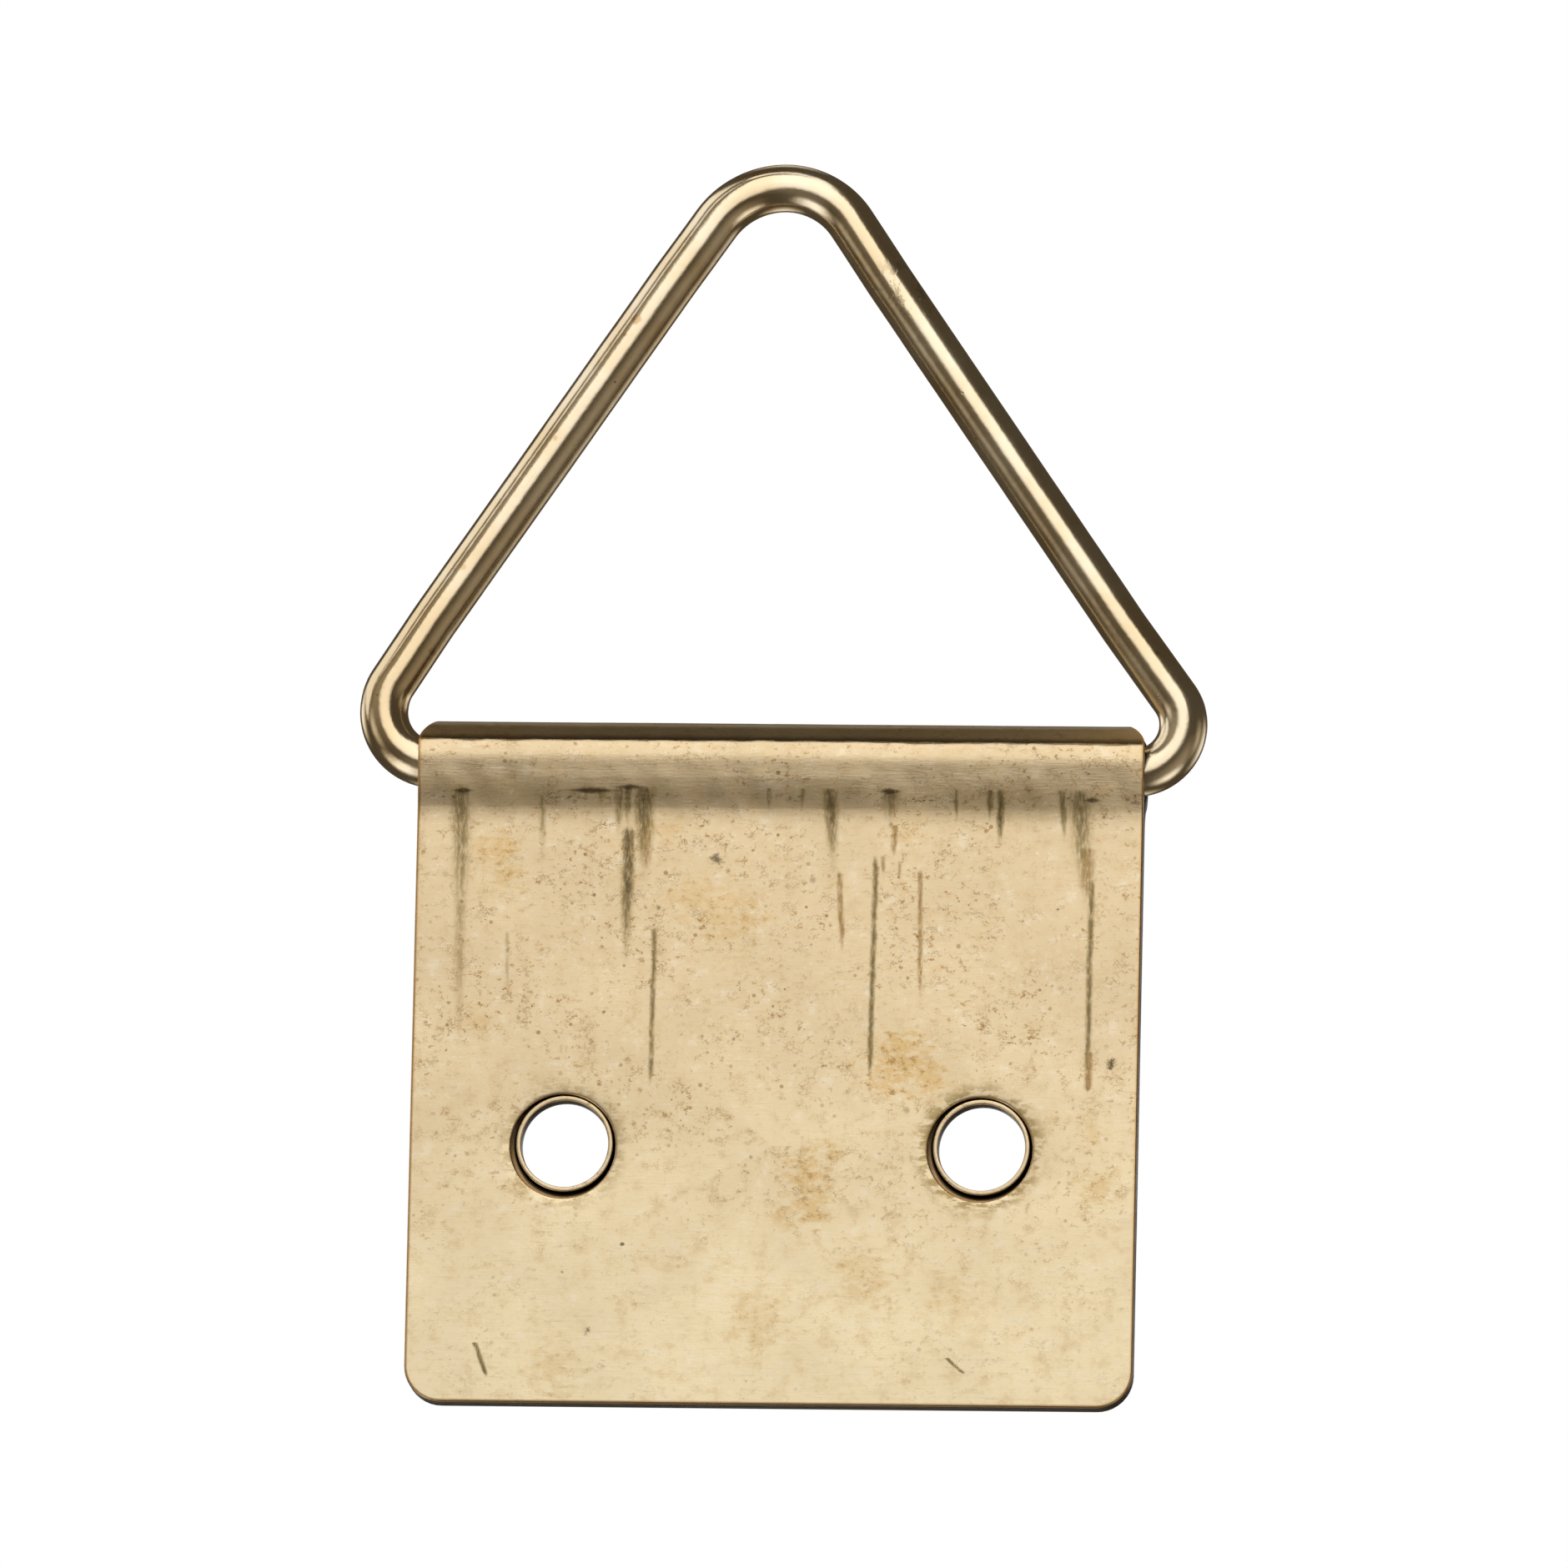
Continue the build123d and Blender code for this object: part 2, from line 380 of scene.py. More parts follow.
print("skin lies", np.round(np.interp([0.9, 1.8, 2.7, 3.6, 4.5, 5.4], down_skin, under), 3), "mm under it")

blank = np.array(blank_points)
x, v, w = blank.T
skin_share = np.clip(1 - w / 0.3, 0, 1)
inside = np.clip((STRAP_WIDTH / 2 - np.abs(x)) / 1.5, 0, 1)
dent = (0.006 + 0.003 * unevenness(x, v, 9, 5.0, 14.0)) * inside
jagged = 0.9 * unevenness(x, v * 0.05, 12, 0.7, 2.6) + 0.8 * unevenness(x, v * 0.05, 6, 4.0, 12.0)
below_top = TOP_V - v + 0.04 * jagged * np.clip(inside * 2, 0, 1)
fold = np.where(below_top > 0, np.interp(below_top, down_skin, under), 0.01)
pressed = press(x, v, w + np.clip(dent + fold, -0.2, 0.3) * skin_share)
strap = metal_object("dressed_strap", pressed, quads, blank)
edge_layer = strap.data.attributes.new("edge", "FLOAT", "POINT")
edge_layer.data.foreach_set("value", np.array(edge_kind, dtype=np.float32))
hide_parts("folded_strap")
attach(strap, "strap")

# %% [markdown]
# ## The triangle of wire
# The triangle is one length of 2 mm drawn wire, bent by hand round three pins, with its two ends hidden in
# the roll. Its line is made of straight runs and true arcs, because a wire bent round a pin takes the
# pin's radius. A round section is carried along that line. Three things keep it from looking like
# plumbing: the wire is a hair out of straight, its legs lean a tenth of a millimetre to the left above
# the roll, and the drawing die has left one fine groove along its outer side.

# %% Sizes and line of the wire
WIRE_R, RING_WIDTH, LEG_SLOPE, SLOPE_SPREAD = 1.0, 35.2, 34.25, 0.43
LEFT_BEND, RIGHT_BEND, APEX_BEND, END_GAP = 2.2, 2.0, 3.4, 0.3
DROOP, DROOP_START, DROOP_BEND = 0.27, 11.5, 20.0
LEAN_HEIGHTS, LEAN = [2.5, 6.0, 20.5, 24.5], [0.0, 0.13, 0.13, 0.03]


def rounded_line(corners, radii, step):
    points = [np.array(corners[0], dtype=float)]
    for before, at, after, radius in zip(corners, corners[1:], corners[2:], radii):
        before, at, after = (np.array(p, dtype=float) for p in (before, at, after))
        into, out = (at - before) / np.linalg.norm(at - before), (after - at) / np.linalg.norm(after - at)
        bend = math.acos(np.clip(into @ out, -1, 1))
        cut = radius * math.tan(bend / 2)
        inward = (out - into) / np.linalg.norm(out - into)
        hub = at + inward * radius / math.cos(bend / 2)
        start, count = at - into * cut, max(6, int(radius * bend / (step * 0.5)))
        spoke = start - hub
        swing = np.sign(into[0] * out[1] - into[1] * out[0]) * bend
        for a in np.linspace(0, swing, count + 1):
            turn = np.array([[math.cos(a), -math.sin(a)], [math.sin(a), math.cos(a)]])
            points.append(hub + turn @ spoke)
    points.append(np.array(corners[-1], dtype=float))
    filled = [points[0]]
    for a, b in zip(points, points[1:]):
        count = max(1, int(np.linalg.norm(b - a) / step))
        filled += [a + (b - a) * k / count for k in range(1, count + 1)]
    return np.array(filled)


reach = RING_WIDTH / 2 - WIRE_R
steep, slack = math.radians(LEG_SLOPE - SLOPE_SPREAD), math.radians(LEG_SLOPE + SLOPE_SPREAD)
left_x = LEFT_BEND - reach - LEFT_BEND / math.tan((math.pi / 2 - steep) / 2)
right_x = reach - RIGHT_BEND + RIGHT_BEND / math.tan((math.pi / 2 - slack) / 2)
rise = (right_x - left_x - DROOP * math.tan(slack)) / (math.tan(steep) + math.tan(slack))
corners = [(END_GAP / 2, 0), (DROOP_START, 0), (right_x, -DROOP), (left_x + rise * math.tan(steep), rise),
           (left_x, 0), (-END_GAP / 2, 0)]
line = rounded_line(corners, (DROOP_BEND, RIGHT_BEND, APEX_BEND, LEFT_BEND), 0.22)
line[:, 0] -= np.interp(line[:, 1], LEAN_HEIGHTS, LEAN)
print("wire line has", len(line), "stations; its tip is at z =", round(PIVOT_Z + line[:, 1].max() + WIRE_R, 2))

# %% Carry the round section along the line
AROUND, GROOVE_AT, GROOVE_WIDTH, GROOVE_DEPTH = 96, math.radians(-62), 0.045, 0.018
tangent = np.gradient(line, axis=0)
tangent /= np.linalg.norm(tangent, axis=1)[:, None]
sideways = np.stack([tangent[:, 1], -tangent[:, 0]], axis=1)
gone = np.concatenate([[0], np.cumsum(np.linalg.norm(np.diff(line, axis=0), axis=1))])
spin = np.linspace(0, 2 * math.pi, AROUND, endpoint=False)
angle, length = np.meshgrid(spin, gone)
fade = np.clip((line[:, 1] - 2.5) / 3, 0, 1)[:, None]
radius = WIRE_R - fade * (0.004 + 0.003 * unevenness(length, angle * 1.5, 7, 3.0, 11.0))
from_groove = (angle - GROOVE_AT + math.pi) % (2 * math.pi) - math.pi
groove = GROOVE_DEPTH * np.exp(-((from_groove / GROOVE_WIDTH) ** 2))
radius = radius - fade * groove * np.clip((length - gone[-1] * 0.47) / 4, 0, 1)
across = radius * np.cos(angle)
wire_x = line[:, 0, None] + sideways[:, 0, None] * across
wire_z = PIVOT_Z + line[:, 1, None] + sideways[:, 1, None] * across
wire_points = np.stack([wire_x, PIVOT_Y + radius * np.sin(angle), wire_z], axis=-1).reshape(-1, 3)
wire_blank = np.stack([angle * WIRE_R, length, np.zeros_like(length)], axis=-1).reshape(-1, 3)
print("wire is", round(gone[-1], 2), "mm long and", round(2 * radius.mean(), 3), "mm thick on average")

# %% Faces of the wire and its two ends
END_DOME = 0.04
wire_faces = []
for s in range(len(line) - 1):
    for k in range(AROUND):
        n = (k + 1) % AROUND
        wire_faces.append([s * AROUND + k, s * AROUND + n, (s + 1) * AROUND + n, (s + 1) * AROUND + k])
for station, inward in ((0, 1.0), (len(line) - 1, -1.0)):
    rim_ids = [station * AROUND + k for k in range(AROUND)]
    hub = np.array([line[station, 0], PIVOT_Y, PIVOT_Z])
    hub[0] -= inward * END_DOME
    wire_points = np.vstack([wire_points, hub])
    wire_blank = np.vstack([wire_blank, (0, gone[station], 0)])
    for k in range(AROUND):
        n = (k + 1) % AROUND
        fan = [rim_ids[k], rim_ids[n], len(wire_points) - 1]
        wire_faces.append(fan[::-1] if inward > 0 else fan)
wire = metal_object("dressed_wire", wire_points, wire_faces, wire_blank)
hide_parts("wire_triangle")
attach(wire, "triangle")

# %% [markdown]
# ## Rolled sheet brass
# Sheet brass leaves the rolling mill with faint lines along the rolling direction, here along the pivot.
# It is a metal, so all its colour is in its reflection: a pale, slightly green yellow. The satin of the
# roughness hides sharp reflections. Folding roughens the skin over the roll, and the press tool drags
# dirt and tarnish down the front leaf. All patterns read the stored blank coordinates, in millimetres,
# so the rolling lines follow the sheet round the bend as they do on the real thing.

# %% Sheet brass: coordinates and broad tone
sheet_brass = bpy.data.materials.new("rolled_sheet_brass")
sheet_brass.use_nodes = True
tree = sheet_brass.node_tree
tree.nodes.clear()
where = add(tree, "Attribute", attribute_name="blank").outputs["Vector"]
edge = add(tree, "Attribute", attribute_name="edge").outputs["Fac"]
split = add(tree, "SeparateXYZ", where)
across_x, along_v = split.outputs["X"], split.outputs["Y"]

# A map range with this setting is a soft step from one value to another
SMOOTH = {"interpolation_type": "SMOOTHSTEP"}


def stretched_noise(tree, vector, per_mm, detail=4.0, roughness=0.55):
    scaled = add(tree, "VectorMath", vector, per_mm, operation="MULTIPLY")
    return add(tree, "TexNoise", scaled, named={"Scale": 1.0, "Detail": detail, "Roughness": roughness})


clouds = stretched_noise(tree, where, (0.16, 0.22, 0.2))
lines = stretched_noise(tree, where, (0.5, 9.0, 1.0), 3.0)
past_front = add(tree, "MapRange", along_v, FLAT_TOP + 0.4, FLAT_TOP + 1.3, **SMOOTH)
before_back = add(tree, "MapRange", along_v, BACK_FLAT - 0.4, BACK_FLAT - 1.3, **SMOOTH)
on_roll = add(tree, "Math", past_front, before_back, operation="MULTIPLY")
cloudy_v = add(tree, "Math", clouds, 14.0, along_v, operation="MULTIPLY_ADD")
handled = add(tree, "MapRange", cloudy_v, -4.0, 16.0, **SMOOTH)
blotches = stretched_noise(tree, where, (1.1, 1.3, 1.0), 5.0, 0.65)
colour = linear("#F4E1B8")
# Each coat: the share that it covers, and its colour
coats = [
    (handled, "#E7CFA6"),
    (add(tree, "MapRange", blotches, 0.5, 0.68, 0.0, 0.5, **SMOOTH), "#DDBF90"),
    (add(tree, "MapRange", blotches, 0.46, 0.3, 0.0, 0.5, **SMOOTH), "#F6E8CC"),
    (add(tree, "MapRange", lines, 0.56, 0.74, 0.0, 0.3, **SMOOTH), "#D8BE8F"),
]
print("broad tone has", len(coats), "coats over the bare brass")

# %% [markdown]
# ## Drag marks
# The folding tool has scored the front leaf from the crease downwards. Each score starts wide and dark,
# where dirt was pressed into the crease, and thins out to a point. One node group draws one such mark
# from its place, lean, length and width, and a short list says where the marks are on this eyelet.

# %% The drag-mark group
drag = bpy.data.node_groups.new("drag_mark", "ShaderNodeTree")
drag.interface.new_socket("Where", in_out="INPUT", socket_type="NodeSocketVector")
for socket in ("Place", "Top", "Length", "Lean", "Width", "Depth", "Fade"):
    drag.interface.new_socket(socket, in_out="INPUT", socket_type="NodeSocketFloat")
drag.interface.new_socket("Mark", in_out="OUTPUT", socket_type="NodeSocketFloat")
given = add(drag, "NodeGroupInput").outputs
spot = add(drag, "SeparateXYZ", given["Where"])
below = add(drag, "Math", given["Top"], spot.outputs["Y"], operation="SUBTRACT")
gone_share = add(drag, "Math", below, given["Length"], operation="DIVIDE")
wander = stretched_noise(drag, given["Where"], (0.4, 0.7, 1.0))
wander = add(drag, "Math", wander, 0.16, -0.08, operation="MULTIPLY_ADD")
middle = add(drag, "Math", given["Lean"], below, given["Place"], operation="MULTIPLY_ADD")
off = add(drag, "Math", spot.outputs["X"], middle, operation="SUBTRACT")
off = add(drag, "Math", off, wander, operation="ADD")
off = add(drag, "Math", off, operation="ABSOLUTE")
half = add(drag, "MapRange", gone_share, given["Fade"], 1.0, 1.0, 0.35, **SMOOTH)
half = add(drag, "Math", given["Width"], half, operation="MULTIPLY")
core = add(drag, "MapRange", add(drag, "Math", off, half, operation="DIVIDE"), 0.0, 2.3, 1.0, 0.0, **SMOOTH)
thinning = add(drag, "MapRange", gone_share, given["Fade"], 1.0, 1.0, 0.0, **SMOOTH)
starting = add(drag, "MapRange", gone_share, -0.03, 0.03, **SMOOTH)
ends = add(drag, "Math", starting, thinning, operation="MULTIPLY")
broken = stretched_noise(drag, given["Where"], (8.0, 2.0, 1.0), 6.0, 0.7)
broken = add(drag, "MapRange", broken, 0.32, 0.6, 0.45, 1.1, **SMOOTH)
broken = add(drag, "Math", broken, given["Depth"], operation="MULTIPLY")
mark = add(drag, "Math", add(drag, "Math", core, ends, operation="MULTIPLY"), broken, operation="MULTIPLY")
add(drag, "NodeGroupOutput", mark)
print("one drag mark takes", len(drag.nodes), "nodes")


def marked(tree, vector, marks):
    total = 0.0
    for place_x, top, bottom, lean, width, depth, fade in marks:
        one = add(tree, "Group", vector, place_x, top, top - bottom, lean, width, depth, fade, node_tree=drag)
        total = add(tree, "Math", total, one, operation="MAXIMUM")
    return total


# %% Where the marks are, in millimetres: place, top, bottom, lean, half width, depth, where it starts to fade
BLACK_MARKS = [
    (-13.19, 14.9, 6.2, 0.010, 0.30, 0.62, 0.1), (-9.85, 14.6, 11.1, 0.022, 0.13, 0.45, 0.2),
    (-11.16, 8.8, 5.5, 0.02, 0.07, 0.3, 0.5), (-7.4, 14.9, 13.6, 0.0, 0.22, 0.5, 0.1),
    (-6.65, 14.9, 12.3, 0.0, 0.16, 0.6, 0.2), (-6.3, 14.9, 12.9, 0.0, 0.12, 0.7, 0.3),
    (-6.23, 13.2, 6.6, 0.0, 0.19, 0.8, 0.35), (-5.61, 14.9, 10.6, -0.02, 0.30, 0.8, 0.1),
    (-5.07, 9.0, 2.2, -0.005, 0.085, 0.62, 0.85), (-0.46, 14.9, 13.7, 0.0, 0.09, 0.6, 0.3),
    (0.92, 14.9, 13.7, 0.0, 0.09, 0.55, 0.3), (2.05, 14.9, 10.6, 0.06, 0.22, 0.8, 0.15),
    (3.98, 12.0, 2.3, -0.003, 0.09, 0.7, 0.85), (4.55, 14.9, 12.9, 0.0, 0.30, 0.65, 0.1),
    (7.28, 14.9, 13.2, 0.0, 0.08, 0.6, 0.3), (8.66, 14.9, 13.3, 0.0, 0.10, 0.8, 0.3),
    (9.11, 14.9, 12.1, 0.0, 0.12, 0.85, 0.4), (11.65, 14.9, 12.3, 0.05, 0.13, 0.7, 0.3),
    (12.38, 14.9, 9.5, 0.05, 0.34, 0.65, 0.15), (12.94, 11.2, 2.4, -0.006, 0.10, 0.65, 0.75),
    (-12.12, -8.33, -9.83, 0.41, 0.08, 0.75, 0.8), (7.36, -8.79, -9.49, 1.15, 0.08, 0.7, 0.8),
]
BROWN_MARKS = [
    (-13.11, 10.0, 2.3, 0.004, 0.18, 0.45, 0.3), (2.5, 11.4, 7.6, 0.06, 0.10, 0.75, 0.6),
    (4.75, 13.4, 11.9, 0.0, 0.10, 0.8, 0.5), (5.85, 11.5, 5.6, 0.02, 0.08, 0.7, 0.7),
    (12.95, 4.0, 2.2, 0.0, 0.12, 0.9, 0.8), (12.7, 12.5, 9.4, 0.02, 0.24, 0.7, 0.3),
    (-5.5, 13.6, 10.6, 0.0, 0.22, 0.8, 0.3), (4.3, 12.1, 11.2, 0.0, 0.08, 0.6, 0.5),
    (5.0, 11.9, 10.9, 0.0, 0.07, 0.6, 0.5),
]
black = marked(tree, where, BLACK_MARKS)
brown = marked(tree, where, BROWN_MARKS)

# %% [markdown]
# ## Tarnish, specks, worn edges, and painted shade and glint
# Dirt settles where a cloth can't reach: a broken dark line runs along the crease. Shade is painted into
# the colour too: a grey band over the crease, a darker top on the fold with a dark line at its sharp corner,
# and a brown band in the dish round each front hole. Dezincified specks, each a tenth of a millimetre, are
# scattered over the leaf and crowd together in patches. The blanked edges are oxidised brown, with a golden
# line just inside them painted as the glint of the burnished edge. Each of these is first worked out as a
# share from 0 to 1.

# %% Dirt along the crease, 14.2 to 14.85 mm above the screw holes, and a painted shade band from 13.2 to 15.6 mm
ragged = stretched_noise(tree, where, (1.3, 2.5, 1.0), 6.0, 0.7)
crease_at = add(tree, "Math", along_v, add(tree, "Math", ragged, 0.9, -0.45, operation="MULTIPLY_ADD"),
                operation="ADD")
crease_line = add(tree, "MapRange", crease_at, 14.5, 14.85, 1.0, 0.0, **SMOOTH)
crease_line = add(tree, "Math", add(tree, "MapRange", crease_at, 14.2, 14.45, **SMOOTH), crease_line,
                  operation="MULTIPLY")
crumbs = add(tree, "MapRange", stretched_noise(tree, where, (3.5, 6.0, 1.0), 5.0, 0.75), 0.5, 0.64, **SMOOTH)
seldom = stretched_noise(tree, where, (0.35, 0.1, 1.0), 3.0)
crease_line = add(tree, "Math", crease_line, crumbs, operation="MULTIPLY")
crease_line = add(tree, "Math", crease_line, add(tree, "MapRange", seldom, 0.45, 0.62, **SMOOTH),
                  operation="MULTIPLY")
# A band of painted shade over the crease, about 13.2 to 15.6 mm above the screw holes, broken up by the clouds
crease_shade = add(tree, "MapRange", crease_at, 14.8, 15.6, 1.0, 0.0, **SMOOTH)
crease_shade = add(tree, "Math", add(tree, "MapRange", crease_at, 13.2, 14.2, **SMOOTH), crease_shade,
                   operation="MULTIPLY")
crease_shade_share = add(tree, "Math", crease_shade, add(tree, "MapRange", clouds, 0.35, 0.65, 0.05, 0.35, **SMOOTH),
             operation="MULTIPLY")


# %% Specks, flecks and dashes
def specks(tree, vector, cell_mm, threshold, radius_mm):
    cells = add(tree, "TexVoronoi", vector, named={"Scale": 1 / cell_mm})
    pick = add(tree, "SeparateColor", cells.outputs["Color"])
    size = add(tree, "Math", pick.outputs["Green"], radius_mm / cell_mm, operation="MULTIPLY")
    past_rim = add(tree, "Math", cells.outputs["Distance"], size, operation="SUBTRACT")
    dot = add(tree, "MapRange", past_rim, -0.04, 0.04, 1.0, 0.0, **SMOOTH)
    picked = add(tree, "Math", pick.outputs["Red"], threshold, operation="GREATER_THAN")
    return add(tree, "Math", dot, picked, operation="MULTIPLY")


crowd = add(tree, "MapRange", stretched_noise(tree, where, (0.22, 0.3, 1.0), 3.0), 0.38, 0.62, 0.25, 1.0,
            **SMOOTH)
crowd = add(tree, "Math", crowd, add(tree, "MapRange", along_v, -9.0, 6.0, 0.35, 1.0, **SMOOTH),
            operation="MULTIPLY")
fine_grain = stretched_noise(tree, where, (2.4, 2.9, 2.4), 5.0, 0.8)
flecks = add(tree, "Math", add(tree, "MapRange", fine_grain, 0.565, 0.625, **SMOOTH), crowd,
             operation="MULTIPLY")
pale_flecks = add(tree, "MapRange", fine_grain, 0.42, 0.34, **SMOOTH)
fine_specks = add(tree, "Math", specks(tree, where, 0.42, 0.7, 0.1), crowd, operation="MULTIPLY")
large_specks = add(tree, "Math", specks(tree, where, 1.9, 0.72, 0.16), crowd, operation="MULTIPLY")
dashes = stretched_noise(tree, where, (1.1, 11.0, 1.0), 4.0, 0.7)
dashes = add(tree, "Math", add(tree, "MapRange", dashes, 0.62, 0.72, **SMOOTH), crowd, operation="MULTIPLY")


# %% Stains and spots
def distance_to(tree, u, v, u0, v0):
    here = add(tree, "CombineXYZ", u, v)
    return add(tree, "VectorMath", here, (u0, v0, 0.0), operation="DISTANCE").outputs["Value"]


def spots(tree, u, v, raggedness, places):
    total = 0.0
    for spot_u, spot_v, size, strength in places:
        away = distance_to(tree, u, v, spot_u, spot_v)
        torn = add(tree, "Math", raggedness, size * 6.0, away, operation="MULTIPLY_ADD")
        one = add(tree, "MapRange", torn, size * 3.2, size * 4.3, strength, 0.0, **SMOOTH)
        total = add(tree, "Math", total, one, operation="MAXIMUM")
    return total


# Each stain or spot: its place along the pivot and up the sheet, its size in mm and its strength
ORANGE_STAINS = [
    (5.2, 3.6, 1.3, 0.8), (6.4, 2.9, 0.9, 0.7), (4.4, 2.6, 0.7, 0.6), (-4.7, 13.1, 0.7, 0.35),
    (1.5, -1.2, 1.0, 0.65), (1.7, -2.5, 0.8, 0.65), (0.5, -3.0, 0.5, 0.5), (2.4, -0.2, 0.6, 0.5),
    (-8.8, -9.2, 0.9, 0.35), (-11.8, 12.2, 0.9, 0.6), (-11.2, 11.2, 0.7, 0.5), (5.4, 13.2, 0.8, 0.3),
    (-2.0, 9.6, 1.3, 0.45), (-3.6, 10.4, 1.0, 0.4), (4.0, -5.4, 1.2, 0.4), (-0.4, -7.4, 1.3, 0.35),
    (13.4, -1.6, 0.8, 0.5), (13.2, 0.6, 0.6, 0.4), (7.5, -6.4, 1.1, 0.3), (-12.4, 5.0, 0.8, 0.3),
]
DARK_SPOTS = [
    (-2.55, 11.9, 0.22, 0.75), (-2.1, 11.45, 0.1, 0.6), (-7.45, -7.8, 0.16, 0.9), (13.83, 3.58, 0.2, 0.9),
    (-8.57, -5.36, 0.08, 0.8), (-6.12, -4.19, 0.08, 0.8), (11.56, 9.93, 0.09, 0.9), (-4.95, 9.9, 0.09, 0.7),
    (-7.1, 5.5, 0.08, 0.7), (-1.7, 4.4, 0.08, 0.7),
]
# Each dash: its place along the pivot and up the sheet, and half its length in mm
DARK_DASHES = [
    (-7.8, 14.75, 0.95), (-6.2, 14.9, 0.5), (-13.1, 14.7, 0.35), (12.9, 14.5, 0.3), (4.5, 14.8, 0.4),
]
orange = spots(tree, across_x, along_v, ragged, ORANGE_STAINS)
dark_spots = spots(tree, across_x, along_v, fine_grain, DARK_SPOTS)
for dash_x, dash_v, half_long in DARK_DASHES:
    off_x = add(tree, "Math", add(tree, "Math", across_x, dash_x, operation="SUBTRACT"), operation="ABSOLUTE")
    off_x = add(tree, "Math", off_x, half_long * 9, operation="DIVIDE")
    off_v = add(tree, "Math", add(tree, "Math", along_v, dash_v, operation="SUBTRACT"), operation="ABSOLUTE")
    frayed = add(tree, "Math", crumbs, 0.06, add(tree, "Math", off_x, off_v, operation="ADD"),
                 operation="MULTIPLY_ADD")
    dark_spots = add(tree, "Math", dark_spots, add(tree, "MapRange", frayed, 0.06, 0.2, 0.85, 0.0, **SMOOTH),
                     operation="MAXIMUM")
print(len(ORANGE_STAINS), "stains,", len(DARK_SPOTS), "spots and", len(DARK_DASHES), "dashes")

# %% Painted shade on the fold's top and at its sharp corner, painted shade in the dishes round the holes, and a painted glint on the burnished rims
CORNER_DOWN, LEFT_DISH, RIGHT_DISH = 1.75, 0.55, 1.0
corner_v = add(tree, "Math", along_v, TOP_V - CORNER_DOWN, operation="SUBTRACT")
corner_v = add(tree, "Math", ragged, 0.3, corner_v, operation="MULTIPLY_ADD")
past_corner = add(tree, "MapRange", corner_v, -0.03, 0.03, **SMOOTH)
# A dark line of painted shade on the fold's top, just past its sharp corner
corner_shade = add(tree, "Math", past_corner, add(tree, "MapRange", corner_v, 0.05, 0.5, 0.8, 0.0, **SMOOTH),
                  operation="MULTIPLY")
# The top of the fold, up to 3.6 mm past its sharp corner, is painted darker as shade
fold_top_shade = add(tree, "Math", past_corner, add(tree, "MapRange", corner_v, 2.6, 3.6, 0.7, 0.0, **SMOOTH),
                   operation="MULTIPLY")
# Painted brown shade in the dish round each front hole, stronger round the right one
dish_near = 0.0
for _, (hole_x, hole_v), hole_r, profile in holes:
    if profile is dished:
        away = distance_to(tree, across_x, along_v, hole_x, hole_v)
        dish_shade_strength = RIGHT_DISH if hole_x > 0 else LEFT_DISH
        near_it = add(tree, "MapRange", away, hole_r + 0.1, hole_r + 0.8, dish_shade_strength, 0.0, **SMOOTH)
        dish_near = add(tree, "Math", dish_near, near_it, operation="MAXIMUM")
dish_shade = add(tree, "Math", dish_near, add(tree, "MapRange", ragged, 0.44, 0.56, 0.0, 0.95, **SMOOTH),
                 operation="MULTIPLY")
# A golden line on the burnished rounding of the edges and the front holes' rims, painted as the glint it
# catches
rim_glint = add(tree, "MapRange", edge, 0.6, 0.95, 1.0, 0.0, **SMOOTH)
rim_glint = add(tree, "Math", add(tree, "MapRange", edge, 0.05, 0.5, **SMOOTH), rim_glint, operation="MULTIPLY")

# %% Flecks in the stains, and fine wandering lines of tarnish
stained_flecks = add(tree, "MapRange", fine_grain, 0.52, 0.6, **SMOOTH)
stained_flecks = add(tree, "Math", stained_flecks, orange, operation="MULTIPLY")
flecks = add(tree, "Math", flecks, stained_flecks, operation="MAXIMUM")
worm_lines = stretched_noise(tree, where, (1.7, 2.1, 1.0), 5.0, 0.75)
worm_lines = add(tree, "Math", worm_lines, 0.5, operation="SUBTRACT")
worm_lines = add(tree, "Math", worm_lines, operation="ABSOLUTE")
worm_lines = add(tree, "MapRange", worm_lines, 0.004, 0.022, 1.0, 0.0, **SMOOTH)
patches = add(tree, "MapRange", stretched_noise(tree, where, (1.1, 1.4, 2.0), 3.0), 0.5, 0.6, **SMOOTH)
worms = add(tree, "Math", worm_lines, add(tree, "Math", patches, crowd, operation="MULTIPLY"),
            operation="MULTIPLY")

# %% [markdown]
# ## Coats of colour
# The shares become coats that lie one over another: pale and stained brass at the bottom, then flecks
# and specks, then the drag marks, and dirt, the painted shade and glint and the oxidised edge on top.
# One loop mixes them in that order. A colour mix has its factor in socket 0 and its two colours in 6 and 7.

